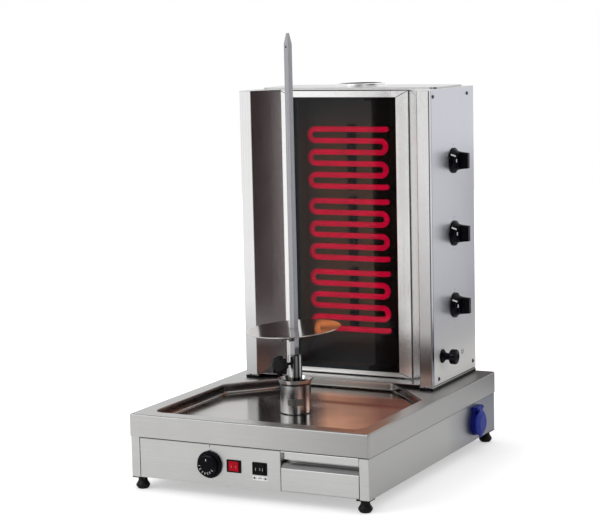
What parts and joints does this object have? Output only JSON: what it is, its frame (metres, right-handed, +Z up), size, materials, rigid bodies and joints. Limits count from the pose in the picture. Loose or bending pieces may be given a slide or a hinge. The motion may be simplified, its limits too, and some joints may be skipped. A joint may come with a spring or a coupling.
{
  "type": "doner kebab grill",
  "caption": "Countertop electric doner kebab grill: low steel cabinet with sunk drip pan, fat drawer, turning square spit with meat plate, and a sliding heating tower with glass and knobs.",
  "frame": {"origin": "bottom centre of the box round the whole grill, on the counter under the feet", "axes": "+X to the right as seen from the front, +Y to the back, +Z up"},
  "size_m": [0.5382, 0.6912, 0.89],
  "materials": {
    "stainless": "brushed",
    "polished_steel": "polished",
    "rubber_black": "matt",
    "knob_black": "gloss",
    "switch_black": "satin",
    "rocker_red": "gloss, lit",
    "regulator_plastic": "moulded",
    "motor_paint": "painted casting",
    "glass_dark": "smoked ceramic glass",
    "element_red": "glowing red",
    "board_white": "fibre board",
    "ceramic": "glazed ceramic",
    "socket_blue": "dark blue moulding",
    "gland_black": "moulded",
    "block_white": "moulded"
  },
  "bodies": {
    "base": {"worktop": "stainless", "base_side_left": "stainless", "base_side_right": "stainless", "base_rear_panel": "stainless", "bottom_plate": "stainless", "control_panel": "stainless", "drawer_divider": "stainless", "drawer_runners": "stainless", "feet": "rubber_black", "power_regulator": "regulator_plastic", "main_switch_housing": "switch_black", "direction_switch_housing": "switch_black", "spigot_housing": "polished_steel", "shaft_bearings": "polished_steel", "gearmotor_bracket": "stainless", "gearmotor": "motor_paint", "guide_rail_left": "stainless", "guide_rail_right": "stainless", "outlet_socket": "socket_blue", "cable_gland": "gland_black", "terminal_block": "block_white"},
    "drawer": {"drawer_tray": "stainless", "drawer_front": "stainless"},
    "turntable": {"drive_shaft": "polished_steel", "turning_bell": "polished_steel", "spit_holder": "polished_steel"},
    "spit": {"spit": "stainless"},
    "plate": {"meat_plate": "polished_steel"},
    "plate_pin": {"plate_pin": "polished_steel"},
    "star_knob": {"star_knob": "knob_black"},
    "regulator_knob": {"regulator_knob": "knob_black"},
    "main_rocker": {"main_rocker": "rocker_red"},
    "direction_rocker": {"direction_rocker": "switch_black"},
    "outlet_lid": {"outlet_lid": "socket_blue"},
    "tower": {"slide_tongues": "stainless", "tower_floor": "stainless", "tower_side_left": "stainless", "tower_side_right": "stainless", "tower_rear_cover": "stainless", "tower_top": "stainless", "vent_ring": "stainless", "wing_left": "stainless", "wing_right": "stainless", "glass_frame": "stainless", "glass_panel": "glass_dark", "heater_tray": "stainless", "insulation_board": "board_white", "heating_element_top": "element_red", "heating_element_middle": "element_red", "heating_element_bottom": "element_red", "terminal_bushings": "ceramic", "element_combs": "stainless", "selector_switches": "regulator_plastic", "clamp_sleeve": "stainless", "clamp_nut": "polished_steel", "side_screws": "polished_steel"},
    "selector_knob_top": {"selector_knob_top": "knob_black"},
    "selector_knob_middle": {"selector_knob_middle": "knob_black"},
    "selector_knob_bottom": {"selector_knob_bottom": "knob_black"},
    "clamp_knob": {"clamp_knob": "knob_black"}
  },
  "joints": [
    {"name": "tower_slide", "type": "slide", "parent": "base", "child": "tower", "axis": [0, -1, 0], "range_m": [0, 0.04]},
    {"name": "drawer_slide", "type": "slide", "parent": "base", "child": "drawer", "axis": [0, -1, 0], "range_m": [0, 0.28]},
    {"name": "spit_drive", "type": "hinge", "parent": "base", "child": "turntable", "pos_m": [-0.00915, -0.11395, 0.15], "axis": [0, 0, 1], "continuous": true},
    {"name": "spit_lift", "type": "slide", "parent": "turntable", "child": "spit", "axis": [0, 0, 1], "range_m": [0, 0.06]},
    {"name": "plate_lift", "type": "slide", "parent": "spit", "child": "plate", "axis": [0, 0, 1], "range_m": [0, 0.45]},
    {"name": "plate_pin_pull", "type": "slide", "parent": "spit", "child": "plate_pin", "axis": [-0.309, -0.9511, 0], "range_m": [0, 0.03]},
    {"name": "star_knob_turn", "type": "hinge", "parent": "turntable", "child": "star_knob", "pos_m": [-0.02151, -0.15199, 0.233], "axis": [-0.309, -0.9511, 0], "range_deg": [0, 360]},
    {"name": "regulator_turn", "type": "hinge", "parent": "base", "child": "regulator_knob", "pos_m": [-0.08915, -0.33495, 0.066], "axis": [0, 1, 0], "range_deg": [0, 270]},
    {"name": "main_rocker_tip", "type": "hinge", "parent": "base", "child": "main_rocker", "pos_m": [-0.03615, -0.32645, 0.067], "axis": [0, 0, 1], "range_deg": [0, 14]},
    {"name": "direction_rocker_tip", "type": "hinge", "parent": "base", "child": "direction_rocker", "pos_m": [0.01985, -0.32645, 0.067], "axis": [0, 0, 1], "range_deg": [-7, 7]},
    {"name": "outlet_lid_hinge", "type": "hinge", "parent": "base", "child": "outlet_lid", "pos_m": [0.2586, 0.20855, 0.0955], "axis": [0, -1, 0], "range_deg": [0, 110], "stiffness_Nm_per_rad": 0.02, "springref_deg": -17.19},
    {"name": "selector_top_turn", "type": "hinge", "parent": "tower", "child": "selector_knob_top", "pos_m": [0.22085, 0.20705, 0.6179], "axis": [-1, 0, 0], "range_deg": [0, 270]},
    {"name": "selector_middle_turn", "type": "hinge", "parent": "tower", "child": "selector_knob_middle", "pos_m": [0.22085, 0.20705, 0.4656], "axis": [-1, 0, 0], "range_deg": [0, 270]},
    {"name": "selector_bottom_turn", "type": "hinge", "parent": "tower", "child": "selector_knob_bottom", "pos_m": [0.22085, 0.20705, 0.3133], "axis": [-1, 0, 0], "range_deg": [0, 270]},
    {"name": "clamp_knob_turn", "type": "hinge", "parent": "tower", "child": "clamp_knob", "pos_m": [0.22085, 0.13355, 0.217], "axis": [1, 0, 0], "range_deg": [0, 360]}
  ]
}
